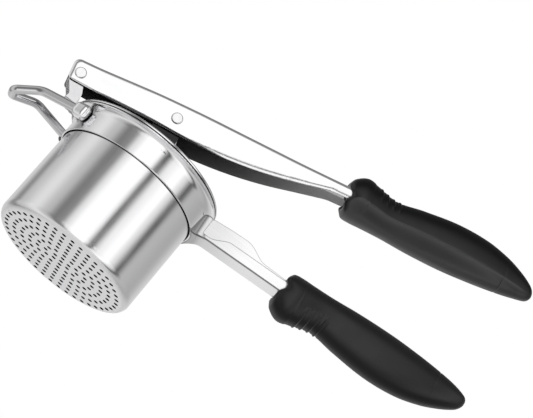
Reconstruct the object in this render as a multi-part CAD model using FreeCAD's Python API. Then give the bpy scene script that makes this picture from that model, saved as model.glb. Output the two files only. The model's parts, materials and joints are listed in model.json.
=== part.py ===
"""Potato ricer: a perforated hopper in a welded frame, pressed by a hinged lever and plunger.

Millimetres. +Z is the hopper's axis, rim upwards. +X points to the handles. The origin is the
centre of the hopper's outer floor. The lever is drawn closed, with the plunger at the bottom.
"""
import FreeCAD, Part
import math
import os
from FreeCAD import Vector

# ---- Driving dimensions -------------------------------------------------------------------

# Hopper: a deep-drawn cup with a perforated floor and a rolled rim.
HOPPER_RADIUS = 40.0
HOPPER_WALL = 0.8
HOPPER_FLOOR = 1.0
HOPPER_BOTTOM_ROUND = 4.0
HOPPER_THROAT_ROUND = 3.9
SEAT_HEIGHT = 67.2
RIM_BEAD_RADIUS = 0.8
RIM_RADIUS = 45.6
HOLE_RADIUS = 1.25
HOLE_PITCH = 4.93
HOLE_RINGS = 7

# Collar: the frame's band round the hopper, with a bell mouth that the rim rests on.
COLLAR_INNER_RADIUS = 40.35
COLLAR_THICKNESS = 1.0
COLLAR_BOTTOM = 52.0
COLLAR_MOUTH_ROUND = 3.2
COLLAR_OUTER_RADIUS = COLLAR_INNER_RADIUS + COLLAR_THICKNESS

# Lower arm: two nested channels, open upwards, that climb slightly towards the grip.
ARM_ANGLE = 4.7
ARM_START = (42.0, 54.64)
ARM_HALF_WIDTH = 6.8
ARM_SHEET = 1.0
ARM_LENGTH = 122.0

# Lever: a channel open downwards, on a pivot behind the hopper.
PIVOT = (-54.3, 81.5)
LEVER_ANGLE = 15.4
LEVER_REAR_HALF_WIDTH = 8.6
LEVER_HALF_WIDTH = 11.8
LEVER_NECK_HALF_WIDTH = 8.4
LEVER_TANG_HALF_WIDTH = 6.6
LEVER_SHEET = 1.2
LEVER_EDGE_ROUND = 2.6
LEVER_TOP = 7.8
LEVER_REAR = -5.7
LEVER_LENGTH = 232.0

# Pins.
PIN_RADIUS = 2.0
PIN_CLEARANCE = 0.06
PIN_HEAD_RADIUS = 3.05
PIN_HEAD_HEIGHT = 0.9
SLEEVE_RADIUS = 3.2
WASHER_RADIUS = 4.2
WASHER_GAP = 0.1
GRIP_PIN_RADIUS = 1.5

# Pivot bracket.
BRACKET_SHEET = 1.5
BRACKET_HALF_WIDTH = 6.4
BRACKET_BEND = 2.3
BRACKET_FRONT = -46.4
BRACKET_BACK = -53.2

# Rest wire and its two sockets.
WIRE_RADIUS = 2.35
WIRE_HEIGHT = 60.4
WIRE_ROOT = (-37.5, 22.4)
WIRE_BEND = (-62.5, 9.2)
WIRE_TIP = (-74.4, 3.9, 53.4)
SOCKET_LENGTH = 7.0
SOCKET_BACK = 2.0
SOCKET_ROUND = 3.0
SOCKET_HALF_WIDTH = 3.6
SOCKET_HALF_HEIGHT = 4.1

# Plunger.
PLUNGER_PIN = (-2.0, 94.4)
DISC_RADIUS = 36.0
DISC_BOTTOM = 3.0
DISC_SHEET = 1.2
DISC_RIM = 3.0
STEM_SHEET = 1.5
STEM_HALF_WIDTH = 9.0
STEM_HALF_GAP = 9.5
STEM_TOP_RADIUS = 6.0

# Grips: the same moulding on both handles, mirrored. Each station is the distance along the
# grip, the centre's offset away from the other handle, the half height and the half width.
UPPER_GRIP = (89.0, 125.0, 15.4)
LOWER_GRIP = (92.0, 62.1, 4.7)
GRIP_STATIONS = (
    (0.0, -0.6, 7.6, 8.6),
    (2.2, 0.0, 10.4, 10.2),
    (8.5, 1.2, 12.4, 11.2),
    (15.0, 0.5, 11.9, 10.6),
    (27.0, -1.4, 10.6, 9.4),
    (42.0, -1.1, 12.1, 10.0),
    (62.0, -0.7, 13.2, 10.7),
    (80.0, -1.2, 12.3, 10.3),
    (93.5, -2.6, 10.0, 9.1),
    (103.0, -4.2, 7.3, 7.3),
    (109.5, -5.4, 4.3, 4.6),
    (112.6, -6.1, 1.2, 1.4),
)
GRIP_SHARPNESS = 2.35
GRIP_SECTION_POINTS = 16
GRIP_SKIN = 2.0
GRIP_FRONT = 3.0
GRIP_CORE_END = 86.0
GRIP_SEAM = 93.5
GRIP_PIN_PLACE = 45.0
GRIP_PIN_HALF_LENGTH = 7.6

TINY = 1e-6


# ---- Drawing helpers ----------------------------------------------------------------------

def side(p, q):
    """A point of a side view: p along X, q up."""
    return Vector(p, 0, q)


def plan(p, q):
    """A point of a plan view: p along X, q along Y."""
    return Vector(p, q, 0)


def rounded_wire(corners, place):
    """Closed outline through (p, q, radius) corners, each one rounded by a tangent arc."""
    arcs = []
    for i, (p, q, radius) in enumerate(corners):
        here = Vector(p, q, 0)
        back = Vector(*corners[i - 1][:2], 0) - here
        ahead = Vector(*corners[(i + 1) % len(corners)][:2], 0) - here
        back.normalize()
        ahead.normalize()
        half = back.getAngle(ahead) / 2
        reach = radius / math.tan(half)
        middle = here
        if radius:
            middle = here + (back + ahead).normalize() * (radius / math.sin(half) - radius)
        arcs.append((here + back * reach, middle, here + ahead * reach))
    edges = []
    for i, (first, middle, last) in enumerate(arcs):
        if (last - first).Length > TINY:
            points = [place(point.x, point.y) for point in (first, middle, last)]
            edges.append(Part.Arc(*points).toShape())
        following = arcs[(i + 1) % len(arcs)][0]
        if (following - last).Length > TINY:
            edges.append(Part.makeLine(place(last.x, last.y), place(following.x, following.y)))
    return Part.Wire(edges)


def prism(corners, place, low, high):
    """Solid of a rounded outline, from low to high along the view's own normal."""
    normal = Vector(0, 1, 0) if place is side else Vector(0, 0, 1)
    face = Part.Face(rounded_wire(corners, place))
    face.translate(normal * low)
    return face.extrude(normal * (high - low))


def turned(corners):
    """Solid of revolution about Z from a rounded (radius, height) outline."""
    face = Part.Face(rounded_wire(corners, side))
    return face.revolve(Vector(0, 0, 0), Vector(0, 0, 1), 360)


def symmetric(half):
    """Closed plan outline from its +Y half, listed from one end of the axis to the other."""
    return half + [(p, -q, radius) for p, q, radius in reversed(half)]


def cross_pin(centre, radius, half_length):
    """Cylinder along Y through a point of the side view."""
    start = Vector(centre[0], -half_length, centre[1])
    return Part.makeCylinder(radius, 2 * half_length, start, Vector(0, 1, 0))


def both_sides(solid):
    """A solid and its mirror image across the XZ plane, as two separate solids."""
    return Part.makeCompound([solid, solid.mirror(Vector(0, 0, 0), Vector(0, 1, 0))])


def long_edges(shape, height, limit):
    """Edges at one height that run along the piece, outside a limit in Y."""
    return [edge for edge in shape.Edges
            if all(abs(v.Z - height) < 0.01 and abs(v.Y) > limit for v in edge.Vertexes)
            and abs(edge.Vertexes[0].X - edge.Vertexes[-1].X) > 1.0]


def largest(shape):
    """The shape's main solid, without loose slivers."""
    return max(shape.Solids, key=lambda solid: solid.Volume)


def placed(shape, start, angle):
    """Tilt a shape drawn along X by an angle that lifts its far end, then move it to start."""
    copy = shape.copy()
    copy.rotate(Vector(0, 0, 0), Vector(0, 1, 0), -angle)
    copy.translate(Vector(start[0], 0, start[1]))
    return copy


# ---- Frame ----------------------------------------------------------------------------------

def hopper():
    throat = HOPPER_THROAT_ROUND
    bead = RIM_RADIUS - RIM_BEAD_RADIUS
    top = SEAT_HEIGHT + HOPPER_WALL
    cup = turned([
        (0, 0, 0),
        (HOPPER_RADIUS, 0, HOPPER_BOTTOM_ROUND),
        (HOPPER_RADIUS, SEAT_HEIGHT, throat),
        (bead, SEAT_HEIGHT, 0),
        (bead, top, 0),
        (HOPPER_RADIUS - HOPPER_WALL, top, throat + HOPPER_WALL),
        (HOPPER_RADIUS - HOPPER_WALL, HOPPER_FLOOR, HOPPER_BOTTOM_ROUND - HOPPER_WALL),
        (0, HOPPER_FLOOR, 0),
    ])
    rolled = Part.makeTorus(bead, RIM_BEAD_RADIUS, Vector(0, 0, SEAT_HEIGHT + RIM_BEAD_RADIUS))
    holes = [Part.makeCylinder(HOLE_RADIUS, 4 * HOPPER_FLOOR, Vector(0, 0, -HOPPER_FLOOR))]
    for ring in range(1, HOLE_RINGS + 1):
        for step in range(6 * ring):
            angle = math.radians(90 + 60 * step / ring)
            x = ring * HOLE_PITCH * math.cos(angle)
            y = ring * HOLE_PITCH * math.sin(angle)
            start = Vector(x, y, -HOPPER_FLOOR)
            holes.append(Part.makeCylinder(HOLE_RADIUS, 4 * HOPPER_FLOOR, start))
    return cup.fuse(rolled).cut(Part.makeCompound(holes))


def collar_outline(inner_radius):
    """Collar section; with an inner radius of zero it is the whole space the collar fills."""
    mouth = COLLAR_MOUTH_ROUND
    flange_bottom = SEAT_HEIGHT - COLLAR_THICKNESS
    edge = COLLAR_THICKNESS / 2 - 0.02
    outline = [
        (COLLAR_OUTER_RADIUS, COLLAR_BOTTOM, 0.45),
        (COLLAR_OUTER_RADIUS, flange_bottom, mouth),
        (RIM_RADIUS, flange_bottom, edge),
        (RIM_RADIUS, SEAT_HEIGHT, edge),
    ]
    if inner_radius:
        outline.append((inner_radius, SEAT_HEIGHT, mouth + COLLAR_THICKNESS))
        outline.append((inner_radius, COLLAR_BOTTOM, 0.45))
    else:
        outline.append((0, SEAT_HEIGHT, 0))
        outline.append((0, COLLAR_BOTTOM, 0))
    return outline


def frame_collar():
    return turned(collar_outline(COLLAR_INNER_RADIUS))


def collar_space():
    """The collar and everything inside it, extended down, to trim what is welded to it."""
    below = Part.makeCylinder(COLLAR_OUTER_RADIUS, COLLAR_BOTTOM)
    return turned(collar_outline(0)).fuse(below)


def lower_arm_channel():
    """Outer channel: its floor flares into the collar's lower edge, its walls are low there."""
    start = -5.0
    gusset_end = 4.7
    gusset_drop = 3.9
    low_wall = 2.2
    wall = 6.4
    tab_top = 11.5
    bottom_round = 1.2
    edge_round = 0.4
    plan_half = [
        (ARM_LENGTH, ARM_HALF_WIDTH, 0),
        (1.5, ARM_HALF_WIDTH, 9),
        (start, 16, 0),
    ]
    outline = [
        (start, -gusset_drop, 0),
        (gusset_end, 0, 15),
        (ARM_LENGTH, 0, 0),
        (ARM_LENGTH, wall, 0),
        (17.0, wall, 8),
        (9.0, low_wall, 8),
        (3.4, low_wall, 0.6),
        (3.9, tab_top, 0),
        (start, tab_top, 0),
    ]
    inner_outline = [
        (start - 1, -gusset_drop + ARM_SHEET - 0.4, 0),
        (gusset_end, ARM_SHEET, 15),
        (ARM_LENGTH + 1, ARM_SHEET, 0),
        (ARM_LENGTH + 1, 40, 0),
        (start - 1, 40, 0),
    ]
    inner_half = [(p, q - ARM_SHEET, radius) for p, q, radius in plan_half]
    inner_half[0] = (ARM_LENGTH + 1, ARM_HALF_WIDTH - ARM_SHEET, 0)
    outer = prism(outline, side, -40, 40).common(prism(symmetric(plan_half), plan, -20, 40))
    outer = outer.makeFillet(bottom_round, [
        edge for edge in outer.Edges
        if edge.BoundBox.ZMax < 0.3 and edge.BoundBox.YMin * edge.BoundBox.YMax > 1])
    outer = outer.makeFillet(edge_round, long_edges(outer, wall, 3))
    inner = prism(inner_outline, side, -40, 40)
    inner = inner.common(prism(symmetric(inner_half), plan, -20, 50))
    shell = placed(outer.cut(inner), ARM_START, ARM_ANGLE)
    return shell.cut(collar_space())


def lower_arm_liner():
    """Inner channel: its walls stand above the outer one's, with a hump near the root."""
    start = -3.0
    bottom = ARM_SHEET
    half_width = ARM_HALF_WIDTH - ARM_SHEET
    outline = [
        (start, bottom, 0),
        (ARM_LENGTH, bottom, 0),
        (ARM_LENGTH, 7.0, 0),
        (52.0, 7.3, 40),
        (36.5, 7.8, 9),
        (27.0, 13.0, 12),
        (15.5, 12.8, 20),
        (start, 11.6, 0),
    ]
    outer = prism(outline, side, -half_width, half_width)
    inner = Part.makeBox(ARM_LENGTH + 20, 2 * (half_width - ARM_SHEET), 40,
                         Vector(-10, -half_width + ARM_SHEET, bottom + ARM_SHEET))
    channel = placed(outer.cut(inner), ARM_START, ARM_ANGLE)
    return channel.cut(collar_space())


def pivot_bracket():
    """Two ears and a front web, bent up from a base that runs on into the collar's flange."""
    x, z = PIVOT
    base_bottom = SEAT_HEIGHT - COLLAR_THICKNESS
    web_inside = BRACKET_FRONT - BRACKET_SHEET
    ear_outline = [
        (BRACKET_FRONT, base_bottom, 0),
        (BRACKET_FRONT, 73.0, 6),
        (x + 4.6, 78.5, 5),
        (x + 4.6, z + 4.6, 4.4),
        (x - 4.6, z + 4.6, 4.4),
        (x - 4.6, z - 3.0, 5),
        (-51.8, 69.8, 3),
        (BRACKET_BACK, base_bottom, 0),
    ]
    hollow_outline = [
        (web_inside, SEAT_HEIGHT, 1),
        (web_inside, 73.0, 5),
        (x + 4.6 - BRACKET_SHEET, 78.5, 4),
        (x + 4.6, z + 12, 0),
        (x - 12, z + 12, 0),
        (x - 12, SEAT_HEIGHT, 0),
    ]
    inner_half = BRACKET_HALF_WIDTH - BRACKET_SHEET
    block = prism(ear_outline, side, -BRACKET_HALF_WIDTH, BRACKET_HALF_WIDTH)
    block = block.makeFillet(BRACKET_BEND, long_edges(block, base_bottom, 3))
    hollow = prism(hollow_outline, side, -inner_half, inner_half)
    tongue_half = [(BRACKET_FRONT - 1, BRACKET_HALF_WIDTH - 1, 0), (-42.0, BRACKET_HALF_WIDTH - 1, 0)]
    tongue = prism(symmetric(tongue_half), plan, base_bottom, SEAT_HEIGHT)
    bore = cross_pin(PIVOT, PIN_RADIUS + PIN_CLEARANCE, 20)
    return block.cut(hollow).fuse(tongue).cut(collar_space()).cut(bore).removeSplitter()


def sleeve(centre, half_length):
    tube = cross_pin(centre, SLEEVE_RADIUS, half_length)
    return tube.cut(cross_pin(centre, PIN_RADIUS + PIN_CLEARANCE, half_length + 1))


def rest_wire_points():
    """Corners of the rest wire's centre line and the bend radius at each one."""
    root = Vector(*WIRE_ROOT, WIRE_HEIGHT)
    bend = Vector(*WIRE_BEND, WIRE_HEIGHT)
    tip = Vector(*WIRE_TIP)
    mirror = [Vector(p.x, -p.y, p.z) for p in (tip, bend, root)]
    return [root, bend, tip] + mirror, [0, 12, 3.0, 3.0, 12, 0]


def rounded_path(points, radii):
    """Open line through points, with tangent arcs of the given radii at the inner ones."""
    edges = []
    here = points[0]
    for i in range(1, len(points) - 1):
        back = (points[i - 1] - points[i]).normalize()
        ahead = (points[i + 1] - points[i]).normalize()
        half = back.getAngle(ahead) / 2
        reach = radii[i] / math.tan(half)
        first = points[i] + back * reach
        last = points[i] + ahead * reach
        middle = points[i] + (back + ahead).normalize() * (radii[i] / math.sin(half) - radii[i])
        edges.append(Part.makeLine(here, first))
        edges.append(Part.Arc(first, middle, last).toShape())
        here = last
    edges.append(Part.makeLine(here, points[-1]))
    return Part.Wire(edges)


def rest_wire():
    points, radii = rest_wire_points()
    along = points[1] - points[0]
    section = Part.Wire(Part.makeCircle(WIRE_RADIUS, points[0], along))
    return rounded_path(points, radii).makePipeShell([section], True, False)


def rest_sockets():
    """On each side of the collar's back, a rounded block that takes the wire's end."""
    points, _ = rest_wire_points()
    along = (points[1] - points[0]).normalize()
    block = Part.makeBox(SOCKET_LENGTH + SOCKET_BACK, 2 * SOCKET_HALF_WIDTH, 2 * SOCKET_HALF_HEIGHT,
                         Vector(-SOCKET_BACK, -SOCKET_HALF_WIDTH, -SOCKET_HALF_HEIGHT))
    block = block.makeFillet(SOCKET_ROUND, block.Edges)
    block.rotate(Vector(0, 0, 0), Vector(0, 0, 1), math.degrees(math.atan2(along.y, along.x)))
    block.translate(points[0])
    bore = Part.makeCylinder(WIRE_RADIUS, 30, points[0], along)
    inside = Part.makeCylinder(COLLAR_OUTER_RADIUS, 80)
    block = block.cut(inside).cut(collar_space()).cut(bore)
    return both_sides(largest(block))


# ---- Lever and plunger ------------------------------------------------------------------------

def lever_plan(inset):
    """Half of the lever's plan: narrow at the pivot and neck, wide over the hopper."""
    return [
        (LEVER_REAR - inset * 20, LEVER_REAR_HALF_WIDTH - inset, 0),
        (8.0, LEVER_REAR_HALF_WIDTH - inset, 60),
        (42.0, LEVER_HALF_WIDTH - inset, 150),
        (66.5, LEVER_HALF_WIDTH - inset, 260),
        (124.0, LEVER_NECK_HALF_WIDTH - inset, 300),
        (LEVER_LENGTH + inset, LEVER_TANG_HALF_WIDTH - inset, 0),
    ]


def lever_channel():
    """Pressed channel: deepest over the hopper, shallow at the neck, open at the rear."""
    outline = [
        (LEVER_REAR, LEVER_TOP, 4),
        (LEVER_REAR, -4.9, 3),
        (86.6, -11.95, 227),
        (143.4, 0.6, 20),
        (LEVER_LENGTH, 1.2, 0),
        (LEVER_LENGTH, LEVER_TOP, 0),
    ]
    blank = prism(outline, side, -30, 30).common(prism(symmetric(lever_plan(0)), plan, -30, 30))
    blank = blank.makeFillet(LEVER_EDGE_ROUND, long_edges(blank, LEVER_TOP, 3))
    inner_top = LEVER_TOP - LEVER_SHEET
    inner = prism(symmetric(lever_plan(LEVER_SHEET)), plan, -30, inner_top)
    inner = inner.makeFillet(LEVER_EDGE_ROUND - LEVER_SHEET, long_edges(inner, inner_top, 3))
    shell = placed(blank.cut(inner), PIVOT, LEVER_ANGLE)
    holes = [cross_pin(centre, PIN_RADIUS, 20) for centre in (PIVOT, PLUNGER_PIN)]
    return shell.cut(holes)


def rivet(centre, half_width):
    """Shank through both walls of the lever with a low domed head on each side."""
    shank = cross_pin(centre, PIN_RADIUS, half_width)
    head = turned([
        (0, 0, 0),
        (PIN_HEAD_RADIUS, 0, 0),
        (PIN_HEAD_RADIUS, PIN_HEAD_HEIGHT, PIN_HEAD_HEIGHT * 0.7),
        (0, PIN_HEAD_HEIGHT, 0),
    ])
    head.rotate(Vector(0, 0, 0), Vector(1, 0, 0), -90)
    head.translate(Vector(centre[0], half_width, centre[1]))
    return shank.fuse(both_sides(head).Solids).removeSplitter()


def washers(centre, inner_face, half_width):
    """Thin washer on each side, between a lever wall and the piece that turns inside it."""
    thickness = half_width - LEVER_SHEET - inner_face - WASHER_GAP
    ring = Part.makeCylinder(WASHER_RADIUS, thickness,
                             Vector(centre[0], inner_face + WASHER_GAP, centre[1]),
                             Vector(0, 1, 0))
    return both_sides(ring.cut(cross_pin(centre, PIN_RADIUS, 20)))


def plunger_stem():
    """Strap bent to a U: two sides from the pin down to a foot that lies on the disc."""
    x, z = PLUNGER_PIN
    foot = DISC_BOTTOM + DISC_SHEET
    shoulder = z - 14
    outline = [
        (x - STEM_TOP_RADIUS, z + STEM_TOP_RADIUS, STEM_TOP_RADIUS - 0.3),
        (x + STEM_TOP_RADIUS, z + STEM_TOP_RADIUS, STEM_TOP_RADIUS - 0.3),
        (x + STEM_TOP_RADIUS, z - 4, 4),
        (x + STEM_HALF_WIDTH, shoulder, 10),
        (x + STEM_HALF_WIDTH, foot, 0),
        (x - STEM_HALF_WIDTH, foot, 0),
        (x - STEM_HALF_WIDTH, shoulder, 10),
        (x - STEM_TOP_RADIUS, z - 4, 4),
    ]
    strap = prism(outline, side, -STEM_HALF_GAP, STEM_HALF_GAP)
    strap = strap.makeFillet(3, [edge for edge in strap.Edges
                                 if abs(edge.CenterOfMass.z - foot) < 0.01
                                 and abs(edge.CenterOfMass.y) > STEM_HALF_GAP - 0.01])
    inner = STEM_HALF_GAP - STEM_SHEET
    hollow = Part.makeBox(60, 2 * inner, 120, Vector(x - 30, -inner, foot + STEM_SHEET))
    hollow = hollow.makeFillet(3 - STEM_SHEET,
                               [edge for edge in hollow.Edges
                                if abs(edge.CenterOfMass.z - foot - STEM_SHEET) < 0.01
                                and abs(edge.CenterOfMass.y) > inner - 0.01])
    bores = [cross_pin(PLUNGER_PIN, PIN_RADIUS + PIN_CLEARANCE, 20)]
    bores += [Part.makeCylinder(PIN_RADIUS, 10, place) for place in disc_rivet_places()]
    return strap.cut(hollow).cut(bores)


def disc_rivet_places():
    x = PLUNGER_PIN[0]
    return [Vector(x + offset, 0, DISC_BOTTOM) for offset in (-5.0, 5.0)]


def plunger_disc():
    """Pressed plate with a turned-up rim, centred on the hopper's axis when closed."""
    rim_top = DISC_BOTTOM + DISC_RIM
    inner = DISC_RADIUS - DISC_SHEET
    plate = turned([
        (0, DISC_BOTTOM, 0),
        (DISC_RADIUS, DISC_BOTTOM, 1.6),
        (DISC_RADIUS, rim_top, 0.5),
        (inner, rim_top, 0.5),
        (inner, DISC_BOTTOM + DISC_SHEET, 0.8),
        (0, DISC_BOTTOM + DISC_SHEET, 0),
    ])
    plate.translate(Vector(PLUNGER_PIN[0], 0, 0))
    return plate.cut([Part.makeCylinder(PIN_RADIUS, 10, place - Vector(0, 0, 1))
                      for place in disc_rivet_places()])


def disc_rivets():
    """Two rivets, flush below the disc and domed on the stem's foot."""
    top = DISC_BOTTOM + DISC_SHEET + STEM_SHEET
    solids = []
    for place in disc_rivet_places():
        rivet_body = turned([
            (0, DISC_BOTTOM, 0),
            (PIN_RADIUS, DISC_BOTTOM, 0),
            (PIN_RADIUS, top, 0),
            (PIN_HEAD_RADIUS, top, 0),
            (PIN_HEAD_RADIUS, top + PIN_HEAD_HEIGHT, 0.6),
            (0, top + PIN_HEAD_HEIGHT, 0),
        ])
        rivet_body.translate(Vector(place.x, place.y, 0))
        solids.append(rivet_body)
    return Part.makeCompound(solids)


# ---- Grips ----------------------------------------------------------------------------------

def grip_section(along, centre, half_height, half_width):
    """Closed section of the grip, a rounded oval between an ellipse and a rectangle."""
    points = []
    for step in range(GRIP_SECTION_POINTS):
        angle = 2 * math.pi * step / GRIP_SECTION_POINTS
        c, s = math.cos(angle), math.sin(angle)
        y = half_width * math.copysign(abs(c) ** (2 / GRIP_SHARPNESS), c)
        z = half_height * math.copysign(abs(s) ** (2 / GRIP_SHARPNESS), s)
        points.append(Vector(along, y, centre + z))
    curve = Part.BSplineCurve()
    curve.interpolate(Points=points, PeriodicFlag=True)
    return Part.Wire(curve.toShape())


def grip_form(inset):
    """The grip's whole form, drawn along X, less an inset all round."""
    wires = [grip_section(along, centre, half_height - inset, half_width - inset)
             for along, centre, half_height, half_width in GRIP_STATIONS
             if min(half_height, half_width) > inset + 1]
    return Part.makeLoft(wires, True, False)


def slab(start, end):
    return Part.makeBox(end - start, 80, 80, Vector(start, -40, -40))


def grip_placed(shape, upper):
    """The upper grip bulges upwards; the lower one is its mirror image."""
    if upper:
        return placed(shape, UPPER_GRIP[:2], UPPER_GRIP[2])
    mirrored = shape.mirror(Vector(0, 0, 0), Vector(0, 0, 1))
    return placed(mirrored, LOWER_GRIP[:2], LOWER_GRIP[2])


def grip_pieces(upper, handle):
    """Core, cover, cap and cross pin of one grip, fitted round the handle's own solids."""
    outer = grip_form(0)
    inner = grip_form(GRIP_SKIN)
    core = grip_placed(inner.common(slab(GRIP_FRONT, GRIP_CORE_END)), upper)
    cavity = inner.common(slab(GRIP_FRONT, GRIP_SEAM))
    cover = grip_placed(outer.common(slab(-5, GRIP_SEAM)).cut(cavity), upper)
    spigot = inner.common(slab(GRIP_CORE_END, GRIP_SEAM))
    cap = grip_placed(outer.common(slab(GRIP_SEAM, 150)).fuse(spigot), upper)
    pin_solid = Part.makeCylinder(GRIP_PIN_RADIUS, 2 * GRIP_PIN_HALF_LENGTH,
                                  Vector(GRIP_PIN_PLACE, -GRIP_PIN_HALF_LENGTH, 0),
                                  Vector(0, 1, 0))
    pin = grip_placed(pin_solid, upper)
    core = core.cut(handle + [pin])
    cover = cover.cut(handle)
    return {"core": core, "cover": cover, "cap": cap, "pin": pin}


# ---- Assembly -------------------------------------------------------------------------------

def build():
    nodes = {
        "hopper": hopper(),
        "frame_collar": frame_collar(),
        "pivot_bracket": pivot_bracket(),
        "pivot_sleeve": sleeve(PIVOT, BRACKET_HALF_WIDTH - BRACKET_SHEET),
        "rest_wire": rest_wire(),
        "rest_sockets": rest_sockets(),
        "pivot_rivet": rivet(PIVOT, LEVER_REAR_HALF_WIDTH),
        "pivot_washers": washers(PIVOT, BRACKET_HALF_WIDTH, LEVER_REAR_HALF_WIDTH),
        "plunger_rivet": rivet(PLUNGER_PIN, LEVER_HALF_WIDTH),
        "plunger_washers": washers(PLUNGER_PIN, STEM_HALF_GAP, LEVER_HALF_WIDTH),
        "plunger_stem": plunger_stem(),
        "plunger_sleeve": sleeve(PLUNGER_PIN, STEM_HALF_GAP - STEM_SHEET),
        "plunger_disc": plunger_disc(),
        "disc_rivets": disc_rivets(),
    }
    arm = lower_arm_channel()
    liner = lower_arm_liner()
    lever = lever_channel()
    for name, upper, handle in (("upper", True, [lever]), ("lower", False, [arm, liner])):
        for piece, shape in grip_pieces(upper, handle).items():
            nodes[f"{name}_grip_{piece}"] = shape
    lower_pin = nodes["lower_grip_pin"]
    nodes["lever_channel"] = lever.cut(nodes["upper_grip_pin"])
    nodes["lower_arm_channel"] = arm.cut(lower_pin)
    nodes["lower_arm_liner"] = liner.cut(lower_pin)
    return nodes


def main():
    os.makedirs("parts", exist_ok=True)
    for name, shape in sorted(build().items()):
        if shape.Volume < 0:
            shape = shape.reversed()
        print(name, "solids", len(shape.Solids), "valid", shape.isValid(),
              "volume", round(shape.Volume, 1), [round(value, 1) for value in (
                  shape.BoundBox.XMin, shape.BoundBox.YMin, shape.BoundBox.ZMin,
                  shape.BoundBox.XMax, shape.BoundBox.YMax, shape.BoundBox.ZMax)])
        shape.exportStep(f"parts/{name}.step")


main()
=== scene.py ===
"""Looks for the potato ricer: studio, camera, metal and grip materials, and detailed grips."""
import json
import math

import bpy
from mathutils import Matrix, Vector


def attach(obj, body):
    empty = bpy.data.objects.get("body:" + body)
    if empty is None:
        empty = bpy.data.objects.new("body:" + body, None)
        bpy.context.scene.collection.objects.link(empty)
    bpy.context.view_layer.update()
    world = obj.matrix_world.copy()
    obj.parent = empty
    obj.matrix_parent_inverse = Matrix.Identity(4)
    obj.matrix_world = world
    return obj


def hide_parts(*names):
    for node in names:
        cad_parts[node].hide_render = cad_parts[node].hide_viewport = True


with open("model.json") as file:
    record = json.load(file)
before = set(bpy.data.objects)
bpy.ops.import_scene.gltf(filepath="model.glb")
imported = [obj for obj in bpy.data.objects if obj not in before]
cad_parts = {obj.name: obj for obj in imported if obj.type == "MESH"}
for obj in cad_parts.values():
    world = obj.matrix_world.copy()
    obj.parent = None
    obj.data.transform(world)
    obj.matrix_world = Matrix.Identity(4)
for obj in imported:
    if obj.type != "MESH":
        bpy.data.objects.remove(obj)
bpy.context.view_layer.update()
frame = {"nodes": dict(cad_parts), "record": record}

MM = 0.001

# ---- Camera -------------------------------------------------------------------------------------

CAMERA_PLACE = (0.0538, -0.9321, -0.3050)
CAMERA_FORWARD = (0.0085, 0.9200, 0.3919)
CAMERA_UP = (-0.6347, -0.2979, 0.7131)
LENS_MM = 133.2
SENSOR_MM = 36
NEAREST = 0.01


def make_camera():
    forward = Vector(CAMERA_FORWARD).normalized()
    right = forward.cross(Vector(CAMERA_UP)).normalized()
    up = right.cross(forward)
    data = bpy.data.cameras.new("camera")
    data.lens = LENS_MM
    data.sensor_width = SENSOR_MM
    data.clip_start = NEAREST
    camera = bpy.data.objects.new("camera", data)
    bpy.context.scene.collection.objects.link(camera)
    turn = Matrix((right, up, -forward)).transposed().to_4x4()
    camera.matrix_world = Matrix.Translation(CAMERA_PLACE) @ turn
    bpy.context.scene.camera = camera


# ---- Node helpers -------------------------------------------------------------------------------

# Masks made from how open a place is: how far away a face still counts, in metres, and the
# openness at which the mask starts and at which it is full.
CREVICE_REACH, CREVICE_OPEN = 0.0016, (0.80, 0.42)
EDGE_REACH, EDGE_OPEN = 0.0007, (0.97, 0.60)
OPENNESS_SAMPLES = 8


def grey(level):
    return (level, level, level, 1)


def toned(tone, factor):
    return (*(c * factor for c in tone), 1)


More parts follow.
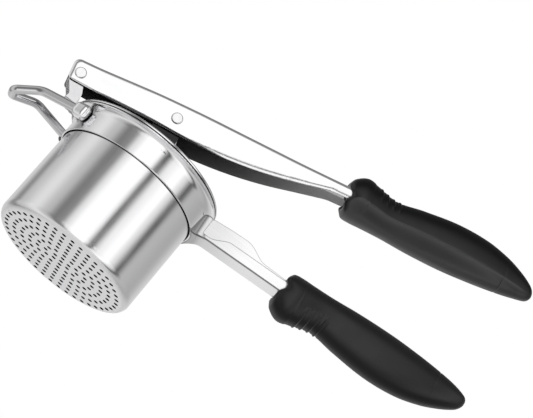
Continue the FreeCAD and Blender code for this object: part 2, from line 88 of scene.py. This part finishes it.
class Graph:
    """Short calls for building a node tree."""

    def __init__(self, tree):
        self.tree = tree
        tree.nodes.clear()

    def node(self, kind, **values):
        node = self.tree.nodes.new(kind)
        for key, value in values.items():
            setattr(node, key, value)
        return node

    def link(self, source, target):
        self.tree.links.new(source, target)

    def feed(self, socket, value):
        """Links an output to a socket, or sets a constant on it."""
        if isinstance(value, bpy.types.NodeSocket):
            self.link(value, socket)
        else:
            socket.default_value = value

    def math(self, operation, a, b=0.0):
        node = self.node("ShaderNodeMath", operation=operation)
        self.feed(node.inputs[0], a)
        self.feed(node.inputs[1], b)
        return node.outputs[0]

    def times(self, a, b):
        return self.math("MULTIPLY", a, b)

    def smooth(self, value, low, high, to_low=0.0, to_high=1.0):
        """Smooth step of a value between two limits."""
        node = self.node("ShaderNodeMapRange", interpolation_type="SMOOTHSTEP")
        for name, item in (("Value", value), ("From Min", low), ("From Max", high),
                           ("To Min", to_low), ("To Max", to_high)):
            self.feed(node.inputs[name], item)
        return node.outputs["Result"]

    def mix(self, factor, a, b):
        node = self.node("ShaderNodeMix", data_type="RGBA")
        self.feed(node.inputs["Factor"], factor)
        self.feed(node.inputs["A"], a)
        self.feed(node.inputs["B"], b)
        return node.outputs["Result"]

    def ramp(self, factor, stops):
        node = self.node("ShaderNodeValToRGB")
        node.color_ramp.interpolation = "EASE"
        elements = node.color_ramp.elements
        while len(elements) < len(stops):
            elements.new(0.5)
        for element, (place, level) in zip(elements, stops):
            element.position = place
            element.color = grey(level)
        self.link(factor, node.inputs["Fac"])
        return node.outputs["Color"]

    def split(self, vector):
        node = self.node("ShaderNodeSeparateXYZ")
        self.link(vector, node.inputs[0])
        return node.outputs

    def position(self):
        return self.node("ShaderNodeTexCoord").outputs["Object"]

    def normal(self):
        """The face's direction in the scene, so that it turns with a posed part."""
        return self.node("ShaderNodeNewGeometry").outputs["Normal"]

    def scaled(self, vector, scale):
        node = self.node("ShaderNodeMapping")
        self.link(vector, node.inputs["Vector"])
        node.inputs["Scale"].default_value = scale
        return node.outputs["Vector"]

    def noise(self, vector, scale, detail):
        node = self.node("ShaderNodeTexNoise")
        self.link(vector, node.inputs["Vector"])
        node.inputs["Scale"].default_value = scale
        node.inputs["Detail"].default_value = detail
        return node.outputs["Fac"]

    def bump(self, height, strength, distance):
        node = self.node("ShaderNodeBump")
        node.inputs["Strength"].default_value = strength
        node.inputs["Distance"].default_value = distance
        self.link(height, node.inputs["Height"])
        return node.outputs["Normal"]

    def from_axis(self, x, y):
        """Distance from the hopper's axis."""
        return self.math("SQRT", self.math("ADD", self.times(x, x), self.times(y, y)))

    def openness(self, reach, inside):
        node = self.node("ShaderNodeAmbientOcclusion", samples=OPENNESS_SAMPLES, inside=inside)
        node.inputs["Distance"].default_value = reach
        return node.outputs["AO"]

    def crevice(self):
        """One in narrow gaps and inside corners, nought on open surfaces."""
        return self.smooth(self.openness(CREVICE_REACH, False), *CREVICE_OPEN)

    def edge(self):
        """One along outside edges of sheet, nought on open surfaces."""
        return self.smooth(self.openness(EDGE_REACH, True), *EDGE_OPEN)


class Look(Graph):
    """A material with one surface, whose base colour and roughness can be built up in layers."""

    def __init__(self, name):
        self.material = bpy.data.materials.new(name)
        self.material.use_nodes = True
        super().__init__(self.material.node_tree)
        self.surface = self.node("ShaderNodeBsdfPrincipled")
        self.output = self.node("ShaderNodeOutputMaterial").inputs["Surface"]
        self.link(self.surface.outputs[0], self.output)

    def put(self, name, value):
        self.feed(self.surface.inputs[name], value)

    def present(self, name):
        """The output that feeds one of the surface's inputs so far."""
        return self.surface.inputs[name].links[0].from_socket

    def cover(self, mask, colour):
        """Lays a colour over the base colour where the mask is one."""
        self.put("Base Color", self.mix(mask, self.present("Base Color"), colour))

    def roughen(self, mask, amount):
        """Adds to the roughness where the mask is one."""
        more = self.times(mask, amount)
        self.put("Roughness", self.math("ADD", self.present("Roughness"), more))


# ---- Studio -------------------------------------------------------------------------------------

# The studio's brightness round the object: degrees from the front towards the handles.
STUDIO = (
    (-180, 0.78), (-148, 0.66), (-126, 0.26), (-112, 0.58), (-82, 0.84), (-62, 0.56),
    (-45, 0.20), (-34, 0.26), (-24, 0.90), (-14, 1.20), (10, 1.20), (20, 0.04),
    (33, 1.00), (52, 1.25), (62, 0.85), (76, 0.08), (88, 0.52), (122, 0.44),
    (156, 0.66), (180, 0.85),
)
# A ramp holds levels up to one, so the studio's levels are divided by this and multiplied back.
BRIGHTEST = 1.3

# Overhead and underfoot: the level, and the heights of the view direction where it fades in.
ZENITH, ZENITH_FADE = 0.26, (0.55, 0.80)
NADIR, NADIR_FADE = 0.75, (-0.75, -0.95)

FLOOR_REACH = 30.0
FLOOR_DROP = 0.0004
PAPER_LOW, PAPER_HIGH = 0.84, 0.90
PAPER_GRAIN = 60.0
PAPER_ROUGH = 0.9
PAPER_GLOW = 0.35


def make_world():
    world = bpy.data.worlds.new("studio")
    bpy.context.scene.world = world
    world.use_nodes = True
    g = Graph(world.node_tree)
    x, y, z = g.split(g.node("ShaderNodeTexCoord").outputs["Generated"])
    around = g.math("ARCTAN2", x, g.times(y, -1.0))
    turn = g.math("ADD", g.math("DIVIDE", around, 2 * math.pi), 0.5)
    stops = [((angle + 180) / 360, level / BRIGHTEST) for angle, level in STUDIO]
    wall = g.times(g.ramp(turn, stops), BRIGHTEST)
    light = g.mix(g.smooth(z, *ZENITH_FADE), wall, grey(ZENITH))
    light = g.mix(g.smooth(z, *NADIR_FADE), light, grey(NADIR))
    seen = g.node("ShaderNodeLightPath").outputs["Is Camera Ray"]
    background = g.node("ShaderNodeBackground")
    g.link(g.mix(seen, light, grey(1)), background.inputs["Color"])
    g.link(background.outputs[0], g.node("ShaderNodeOutputWorld").inputs["Surface"])


def make_floor():
    """A pale floor that only the camera sees, from above, so that it doesn't darken the base."""
    mesh = bpy.data.meshes.new("floor")
    corners = [(-1, -1), (1, -1), (1, 1), (-1, 1)]
    mesh.from_pydata([(x * FLOOR_REACH, y * FLOOR_REACH, -FLOOR_DROP) for x, y in corners],
                     [], [(0, 1, 2, 3)])
    floor = bpy.data.objects.new("floor", mesh)
    bpy.context.scene.collection.objects.link(floor)
    for ray in ("diffuse", "glossy", "transmission", "shadow", "volume_scatter"):
        setattr(floor, "visible_" + ray, False)
    paper = Look("floor_paper")
    grain = paper.noise(paper.position(), PAPER_GRAIN, 3.0)
    paper.put("Base Color", paper.mix(grain, grey(PAPER_LOW), grey(PAPER_HIGH)))
    paper.put("Roughness", PAPER_ROUGH)
    paper.put("Emission Color", grey(1))
    paper.put("Emission Strength", PAPER_GLOW)
    behind = paper.node("ShaderNodeNewGeometry").outputs["Backfacing"]
    clear = paper.node("ShaderNodeBsdfTransparent").outputs[0]
    either = paper.node("ShaderNodeMixShader")
    for socket, source in zip(either.inputs, (behind, paper.surface.outputs[0], clear)):
        paper.link(source, socket)
    paper.link(either.outputs[0], paper.output)
    mesh.materials.append(paper.material)


# ---- Materials ----------------------------------------------------------------------------------

# Steel is a trace bluer than grey, and its cloudy patches are a little dimmer.
STEEL_BLUE = 0.01
CLOUD_DIM, CLOUD_SCALE = 0.93, 45.0
GRAIN_STRENGTH, GRAIN_DEPTH = 0.12, 0.00001

# The middle of a noise's range, which is stretched over a range of roughness.
NOISE_MIDDLE = (0.3, 0.7)

# How fast the drawn lines change along X, Y and Z.
CUP_GRAIN = (900, 900, 60)
HANDLE_GRAIN = (40, 700, 700)
PRESSED_GRAIN = (300, 300, 300)
PIN_GRAIN = (500, 500, 500)

# Grey levels of the painted shade, how fully some of it covers the steel, and added roughness.
CREVICE_SHADE_LEVEL = 0.03
DEEP_SHADE_LEVEL = 0.02
FLOOR_ROUGHER = 0.33
ARM_ROOT_SHADE_LEVEL = 0.70
BEND_SHADE_LEVEL, BEND_SHARE = 0.14, 0.90
EDGE_SHADE_LEVEL, EDGE_SHARE = 0.22, 0.65
PLUNGER_SHADE_LEVEL = 0.03
LEVER_TOP_SHADE_LEVEL = 0.70
CHANNEL_DEEP_SHADE_LEVEL, CHANNEL_MOUTH_SHADE_LEVEL = 0.15, 0.60
CHANNEL_ROUGHER = 0.25

# Heights and distances in metres. Each pair gives where a mask starts and where it is full.
SEAT_HEIGHT = 0.0672
SEAT_LINE = (0.00050, 0.00020)
SEAT_INNER_RADIUS = 0.0435
FLOOR_SHEET = 0.0010
FLOOR_SKIN = 0.00004
FLOOR_MATT = (0.0014, 0.0004)
HOLES_RADIUS = 0.0365
ARM_ROOT_ALONG = (0.075, 0.045)
STEM_TOP_HEIGHT = (0.062, 0.070)
STEM_BACK_ALONG = (0.0060, 0.0052)
LEVER_INNER_HALF_WIDTH = (0.0070, 0.0062)
LEVER_CHANNEL_ALONG = (-0.02, 0.09)

# The same for the upward part of the face's normal.
FACES_UP = (0.15, 0.75)
FACES_DOWN = (-0.3, -0.6)
BEND_STARTS, BEND_ENDS = (-0.20, -0.50), (-0.97, -0.80)

# Place across the channel times the normal's part towards its middle, in millimetres.
FACES_INWARD = (0.5, 3.0)

RUBBER_TONE = (0.004, 0.004, 0.0044)
# Colour of the painted highlight along the upper grip's ridge.
RIDGE_HIGHLIGHT_TONE = (0.040, 0.040, 0.041)
MOTTLE_SCALE, MOTTLE_LOW, MOTTLE_HIGH = 120.0, 0.80, 1.25
RUBBER_ROUGH = (0.34, 0.42)
RUBBER_GRAIN, RUBBER_GRAIN_STRENGTH, RUBBER_GRAIN_DEPTH = 2600.0, 0.25, 0.00004
# Painted sheen: the rubber's specular strength depends on which way a face points, scaled
# differently above and below on each grip.
RUBBER_SHEEN = 0.48
SHEEN_UP, SHEEN_DOWN = (-0.25, 0.35), (-0.30, -0.85)


def steel(name, level, rough, grain):
    """Stainless steel of a grey level and a roughness range: clouds, drawn lines, painted shade in
    gaps.
    """
    look = Look(name)
    place = look.position()
    cloud = look.noise(place, CLOUD_SCALE, 4.0)
    lines = look.noise(look.scaled(place, grain), 1.0, 2.0)
    tone = (level, level, level + STEEL_BLUE)
    look.put("Base Color", look.mix(cloud, toned(tone, CLOUD_DIM), toned(tone, 1)))
    # Painted shade: the steel is darkened in narrow gaps and inside corners.
    look.cover(look.crevice(), grey(CREVICE_SHADE_LEVEL))
    look.put("Metallic", 1.0)
    patchy = look.math("ADD", look.times(cloud, 0.5), look.times(lines, 0.5))
    look.put("Roughness", look.smooth(patchy, *NOISE_MIDDLE, *rough))
    look.put("Normal", look.bump(lines, GRAIN_STRENGTH, GRAIN_DEPTH))
    return look


def seat_shade(look):
    """Paints shade on the thin line where the hopper's rim sits on the collar's flange."""
    x, y, z = look.split(look.position())
    off = look.math("ABSOLUTE", look.math("SUBTRACT", z, SEAT_HEIGHT))
    outside = look.math("GREATER_THAN", look.from_axis(x, y), SEAT_INNER_RADIUS)
    # Painted shade: a near-black line in the gap between the rim and the flange.
    look.cover(look.times(look.smooth(off, *SEAT_LINE), outside), grey(DEEP_SHADE_LEVEL))


def collar_steel():
    """Polished band with a painted shadow line at the hopper's seat."""
    look = steel("collar_steel", 0.90, (0.12, 0.18), CUP_GRAIN)
    seat_shade(look)
    return look.material


def hopper_steel():
    """Polished outside, matt on the perforated floor, with painted shade in the holes."""
    look = steel("hopper_steel", 0.90, (0.13, 0.19), CUP_GRAIN)
    x, y, z = look.split(look.position())
    look.roughen(look.smooth(z, *FLOOR_MATT), FLOOR_ROUGHER)
    # Painted shade: the walls of the floor's holes are near black.
    above = look.math("GREATER_THAN", z, FLOOR_SKIN)
    below = look.math("LESS_THAN", z, FLOOR_SHEET - FLOOR_SKIN)
    among = look.math("LESS_THAN", look.from_axis(x, y), HOLES_RADIUS)
    look.cover(look.times(look.times(above, below), among), grey(DEEP_SHADE_LEVEL))
    seat_shade(look)
    return look.material


def arm_steel():
    """Satin arm with painted shade: greyer towards its root, darker on its downward bends and
    along its cut edges.
    """
    look = steel("arm_steel_look", 0.91, (0.20, 0.28), HANDLE_GRAIN)
    upward = look.split(look.normal())["Z"]
    along = look.split(look.position())["X"]
    # Painted shade: the arm is greyer towards its root at the collar.
    look.cover(look.smooth(along, *ARM_ROOT_ALONG), grey(ARM_ROOT_SHADE_LEVEL))
    # Painted shade: faces slanting downwards, on the long bends, are darkened.
    bend = look.times(look.smooth(upward, *BEND_STARTS), look.smooth(upward, *BEND_ENDS))
    look.cover(look.times(bend, BEND_SHARE), grey(BEND_SHADE_LEVEL))
    # Painted shade: thin dark lines along the sheet's outside edges.
    look.cover(look.times(look.edge(), EDGE_SHARE), grey(EDGE_SHADE_LEVEL))
    return look.material


def pressing_steel():
    """Satin sheet of the plunger, with painted shade under its disc and where its stem enters the
    lever.
    """
    look = steel("pressing_steel_look", 0.50, (0.25, 0.35), PRESSED_GRAIN)
    upward = look.split(look.normal())["Z"]
    x, _, z = look.split(look.position())
    # Painted shade: faces that point down, and the stem's top where it sits in the lever, are near
    # black.
    top = look.times(look.smooth(z, *STEM_TOP_HEIGHT), look.smooth(x, *STEM_BACK_ALONG))
    shaded = look.math("MAXIMUM", look.smooth(upward, *FACES_DOWN), top)
    look.cover(shaded, grey(PLUNGER_SHADE_LEVEL))
    return look.material


def lever_steel():
    """Bright outside, with painted shade on its upward faces; inside the channel, where the
    pressing isn't polished, it is rougher and has painted shade.
    """
    look = steel("lever_steel_look", 0.93, (0.14, 0.22), HANDLE_GRAIN)
    x, y, _ = look.split(look.position())
    _, sideways, upward = look.split(look.normal())
    # Painted shade: faces that point upwards are greyer.
    look.cover(look.smooth(upward, *FACES_UP), grey(LEVER_TOP_SHADE_LEVEL))
    inward = look.times(look.times(sideways, y), -1 / MM)
    between = look.smooth(look.math("ABSOLUTE", y), *LEVER_INNER_HALF_WIDTH)
    roof = look.times(look.smooth(upward, *FACES_DOWN), between)
    inside = look.math("MAXIMUM", look.smooth(inward, *FACES_INWARD), roof)
    # Painted shade inside the channel, darkest towards the pivot and lighter towards the grip.
    look.cover(inside, look.mix(look.smooth(x, *LEVER_CHANNEL_ALONG),
                                grey(CHANNEL_DEEP_SHADE_LEVEL), grey(CHANNEL_MOUTH_SHADE_LEVEL)))
    look.roughen(inside, CHANNEL_ROUGHER)
    return look.material


def grip_rubber(name, above, below):
    """Soft-touch moulding with a painted highlight along its ridge: above and below scale its
    painted sheen each way.
    """
    look = Look(name)
    place = look.position()
    mottle = look.noise(place, MOTTLE_SCALE, 4.0)
    fine = look.noise(place, RUBBER_GRAIN, 2.0)
    ridge_highlight = look.node("ShaderNodeAttribute", attribute_name="ridge_band").outputs["Fac"]
    low, high = toned(RUBBER_TONE, MOTTLE_LOW), toned(RUBBER_TONE, MOTTLE_HIGH)
    look.put("Base Color", look.mix(mottle, low, high))
    # Painted highlight: the upper grip is lighter along its side ridge.
    look.cover(ridge_highlight, toned(RIDGE_HIGHLIGHT_TONE, 1))
    look.put("Roughness", look.smooth(mottle, *NOISE_MIDDLE, *RUBBER_ROUGH))
    # Painted sheen: the specular strength is scaled by how far the face points up or down.
    upward = look.split(look.normal())["Z"]
    up = look.smooth(upward, *SHEEN_UP, 1.0, above)
    down = look.smooth(upward, *SHEEN_DOWN, 1.0, below)
    look.put("Specular IOR Level", look.times(look.times(up, down), RUBBER_SHEEN))
    look.put("Normal", look.bump(fine, RUBBER_GRAIN_STRENGTH, RUBBER_GRAIN_DEPTH))
    return look.material


# ---- Grips --------------------------------------------------------------------------------------

# One grip, drawn along X with its outer side up: place along it, the section's centre height,
# half height and half width, in millimetres. So are all sizes in this part.
GRIP_STATIONS = (
    (0.0, -0.6, 7.6, 8.6),
    (2.2, 0.0, 10.4, 10.2),
    (8.5, 1.2, 12.4, 11.2),
    (15.0, 0.5, 11.9, 10.6),
    (27.0, -1.4, 10.6, 9.4),
    (42.0, -1.1, 12.1, 10.0),
    (62.0, -0.7, 13.2, 10.7),
    (80.0, -1.2, 12.3, 10.3),
    (93.5, -2.6, 10.0, 9.1),
    (103.0, -4.2, 7.3, 7.3),
    (109.5, -5.4, 4.6, 4.8),
    (111.6, -5.9, 3.0, 3.2),
    (112.6, -6.1, 1.2, 1.4),
)
GRIP_END = GRIP_STATIONS[-1][0]
SIDES = 120

# The section is a superellipse with this exponent: two would make it an ellipse.
SECTION_EXPONENT = 2.35

# Finger ribs on the outer side, each with a groove behind it. They bow away from the front.
RIBS, RIB_START, RIB_PITCH, RIB_BOW = 4, 17.6, 3.75, 0.8
RIB_HEIGHT, RIB_WIDTH = 0.62, 0.60
GROOVE_DEPTH, GROOVE_WIDTH, GROOVE_BEHIND = 0.45, 0.40, 1.0
RIDGED_RIBS = 0.65

# The side ridge of the upper grip, with a hollow between it and the inner side.
RIDGE_HEIGHT, RIDGE_WIDTH = 0.45, 0.09
HOLLOW_DEPTH, HOLLOW_WIDTH = 1.2, 0.75
TAPER = (103, 111)

# The thicker neck, which ends in a step that leans along the grip.
NECK, NECK_LEAN, NECK_RISE, NECK_STEP = 12.4, 0.9, 0.30, 0.5

# The seam between cover and cap is a shallow groove.
SEAM, SEAM_DEPTH, SEAM_WIDTH = 93.5, 0.22, 0.32

# The front edge is pulled back where the handle enters and on the inner side.
SADDLE_DEPTH, SADDLE_CENTRE, SADDLE_WIDTH, SADDLE_LENGTH = 2.8, -0.6, 3.0, 14.0
FRONT_SETBACK, INNER_SETBACK, INNER_HEIGHTS = 0.4, 1.4, (3, 8)

# Rings turned in at the front and at the seam: place, inset, shift along, share of the relief.
FRONT_LIP = ((1.6, 5.2, 3.0, 0.0), (0.6, 3.4, 1.0, 0.0), (0.0, 1.6, 0.2, 0.2),
             (0.0, 0.7, 0.0, 0.6))
SEAM_LIP = ((SEAM, 1.4, 0.0, 0.0), (SEAM, 0.25, 0.0, 0.6))

# Places of the plain rings near the front, the seam and the tip, where the skin turns fastest.
FRONT_PLACES = (0.15, 0.4, 0.8, 1.3, 1.8)
SEAM_GAPS = (0.12, 0.3, 0.5, 0.8)
TIP_PLACES = (109.0, 110.0, 110.8, 111.4, 111.9, 112.2, 112.4)

# Each grip's front centre in X and Z, its angle in degrees and the body that it rides.
GRIPS = {
    "upper": ((89.0, 125.0), 15.4, "lever"),
    "lower": ((92.0, 62.1), 4.7, "frame"),
}


def section(along):
    """Centre height, half height and half width at a place, by Catmull-Rom pieces."""
    last = len(GRIP_STATIONS) - 1
    i = max(j for j in range(last) if GRIP_STATIONS[j][0] <= along)
    before, start, end, after = (GRIP_STATIONS[max(0, min(last, i + k))] for k in (-1, 0, 1, 2))
    span = end[0] - start[0]
    t = (along - start[0]) / span
    t2, t3 = t * t, t * t * t
    values = []
    for column in (1, 2, 3):
        slope_start = (end[column] - before[column]) / (end[0] - before[0]) * span
        slope_end = (after[column] - start[column]) / (after[0] - start[0]) * span
        values.append((2 * t3 - 3 * t2 + 1) * start[column] + (t3 - 2 * t2 + t) * slope_start
                      + (3 * t2 - 2 * t3) * end[column] + (t3 - t2) * slope_end)
    return values


def smoothstep(value, low, high):
    t = min(1.0, max(0.0, (value - low) / (high - low)))
    return t * t * (3 - 2 * t)


def bell(value, centre, width):
    return math.exp(-((value - centre) / width) ** 2)


def rounded(value):
    """A cosine or sine, squared off for the superellipse."""
    return math.copysign(abs(value) ** (2 / SECTION_EXPONENT), value)


# The functions below take the cosine of the turn round the grip: one on the outer side, minus one
# on the inner side.

def ridge_cosine(along):
    """Where the side ridge runs: from just inside the middle towards the inner side."""
    return -0.16 - 0.16 * smoothstep(along, 29, 105)


def ridge_band(along, cosine):
    """One along the side ridge; it shapes the ridge and places the painted highlight."""
    fade = smoothstep(along, 1, 7) * (1 - smoothstep(along, *TAPER))
    return math.exp(-abs(cosine - ridge_cosine(along)) / RIDGE_WIDTH) * fade


def grip_relief(along, cosine, ridged):
    """How far the skin stands out of the plain form: finger ribs, side ridge, neck, seam."""
    rise = 0.0
    for k in range(RIBS):
        place = RIB_START + RIB_PITCH * k + (1 - abs(cosine)) * RIB_BOW
        rise += RIB_HEIGHT * bell(along, place, RIB_WIDTH)
        rise -= GROOVE_DEPTH * bell(along, place + GROOVE_BEHIND, GROOVE_WIDTH)
    rise *= smoothstep(cosine, 0.10, 0.45)
    if ridged:
        rise = rise * RIDGED_RIBS + RIDGE_HEIGHT * ridge_band(along, cosine)
        inward = min(1.0, max(0.0, (ridge_cosine(along) - cosine) / HOLLOW_WIDTH))
        rise -= HOLLOW_DEPTH * math.sin(math.pi * inward) * (1 - smoothstep(along, *TAPER))
    neck = NECK + NECK_LEAN * cosine
    on_neck = 1 - smoothstep(along, neck - NECK_STEP, neck + NECK_STEP)
    rise += NECK_RISE * on_neck * smoothstep(cosine, -1.0, -0.3)
    rise -= SEAM_DEPTH * bell(along, SEAM, SEAM_WIDTH) * smoothstep(-cosine, -0.1, 0.2)
    return rise


def front_place(along, height):
    """Pulls the front edge back where the handle enters, so that the rim is a saddle."""
    notch = SADDLE_DEPTH * bell(height, SADDLE_CENTRE, SADDLE_WIDTH)
    notch += FRONT_SETBACK + INNER_SETBACK * smoothstep(-height, *INNER_HEIGHTS)
    fade = max(0.0, 1 - along / SADDLE_LENGTH)
    return along + notch * fade * fade


def grip_mesh(name, rings, upper, tipped):
    """Tube through the rings, closed at the tip if it has one."""
    verts = []
    faces = []
    ridge_highlight = []
    for along, inset, shift, relief in rings:
        centre, half_height, half_width = section(along)
        for k in range(SIDES):
            turn = 2 * math.pi * k / SIDES
            cosine = math.cos(turn)
            out = (half_height - inset) * rounded(cosine)
            y = (half_width - inset) * rounded(math.sin(turn))
            swell = 1 + grip_relief(along, cosine, upper) * relief / math.hypot(y, out)
            height = centre + out * swell
            verts.append((front_place(along, height) + shift, y * swell, height))
            # Share of the painted highlight along the upper grip's ridge, kept on each point.
            ridge_highlight.append(ridge_band(along, cosine) * relief if upper else 0.0)
    last = SIDES * (len(rings) - 1)
    for first in range(0, last, SIDES):
        second = first + SIDES
        for k in range(SIDES):
            following = (k + 1) % SIDES
            faces.append((first + k, first + following, second + following, second + k))
    if tipped:
        tip = len(verts)
        verts.append((GRIP_END, 0, GRIP_STATIONS[-1][1]))
        ridge_highlight.append(0.0)
        for k in range(SIDES):
            faces.append((last + k, last + (k + 1) % SIDES, tip))
    mesh = bpy.data.meshes.new(name)
    sign = 1 if upper else -1
    mesh.from_pydata([(x * MM, y * MM, sign * z * MM) for x, y, z in verts], [], faces)
    if upper:
        mesh.flip_normals()
    mesh.update()
    mesh.attributes.new("ridge_band", "FLOAT", "POINT").data.foreach_set("value", ridge_highlight)
    for polygon in mesh.polygons:
        polygon.use_smooth = True
    return mesh


def spread(start, end, step):
    count = max(2, round((end - start) / step))
    return [start + (end - start) * i / count for i in range(count + 1)]


def plain_rings(places):
    return [(along, 0.0, 0.0, 1.0) for along in places]


def cover_rings():
    places = [*FRONT_PLACES, *spread(2.4, 34.0, 0.42), *spread(35.0, SEAM - 1.2, 1.2)]
    places += [SEAM - gap for gap in reversed(SEAM_GAPS)]
    return [*FRONT_LIP, *plain_rings([*places, SEAM]), *reversed(SEAM_LIP)]


def cap_rings():
    places = [SEAM, *(SEAM + gap for gap in SEAM_GAPS), *spread(SEAM + 1.2, 108.0, 0.8)]
    return [*SEAM_LIP, *plain_rings([*places, *TIP_PLACES])]


def make_grip(side, place, angle, body):
    turn = Matrix.Rotation(-math.radians(angle), 4, "Y")
    move = Matrix.Translation((place[0] * MM, 0, place[1] * MM))
    for piece, rings in (("cover", cover_rings()), ("cap", cap_rings())):
        mesh = grip_mesh(f"{side}_grip_{piece}_skin", rings, side == "upper", piece == "cap")
        mesh.transform(move @ turn)
        obj = bpy.data.objects.new(mesh.name, mesh)
        bpy.context.scene.collection.objects.link(obj)
        mesh.materials.append(RUBBER[side])
        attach(obj, body)
        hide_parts(f"{side}_grip_{piece}")
        obj.visible_glossy = False


# ---- Scene --------------------------------------------------------------------------------------

bpy.context.scene.view_settings.view_transform = "Standard"
make_camera()
make_world()
make_floor()

ARM = arm_steel()
LEVER = lever_steel()
PRESSING = pressing_steel()
# The two grips differ only in their painted sheen above and below.
RUBBER = {
    "upper": grip_rubber("upper_grip_look", 0.40, 1.70),
    "lower": grip_rubber("lower_grip_look", 0.95, 0.40),
}
SLOT_LOOKS = {
    "lever_steel": LEVER,
    "pressing_steel": PRESSING,
    "wire_steel": steel("wire_steel_look", 0.66, (0.08, 0.12), PRESSED_GRAIN).material,
    "pin_steel": steel("pin_steel_look", 0.86, (0.20, 0.30), PIN_GRAIN).material,
}

# Nodes that look different from the rest of their slot.
NODE_LOOKS = {
    "hopper": hopper_steel(),
    "frame_collar": collar_steel(),
    "lower_arm_channel": ARM,
    "lower_arm_liner": ARM,
    "pivot_bracket": steel("bracket_steel_look", 0.70, (0.20, 0.30), PRESSED_GRAIN).material,
    "rest_sockets": LEVER,
    "plunger_stem": PRESSING,
}

# The lower handle and the grips don't show in the hopper's polish.
UNMIRRORED = ("upper_grip", "lower_")

slots = {entry["node"]: entry["material_slot"] for entry in frame["record"]["subparts"]}
for name, node in frame["nodes"].items():
    side = name.split("_")[0]
    look = NODE_LOOKS.get(name) or SLOT_LOOKS.get(slots[name]) or RUBBER[side]
    for material_slot in node.material_slots:
        material_slot.material = look
    node.visible_glossy = not name.startswith(UNMIRRORED)

for side, (place, angle, body) in GRIPS.items():
    make_grip(side, place, angle, body)
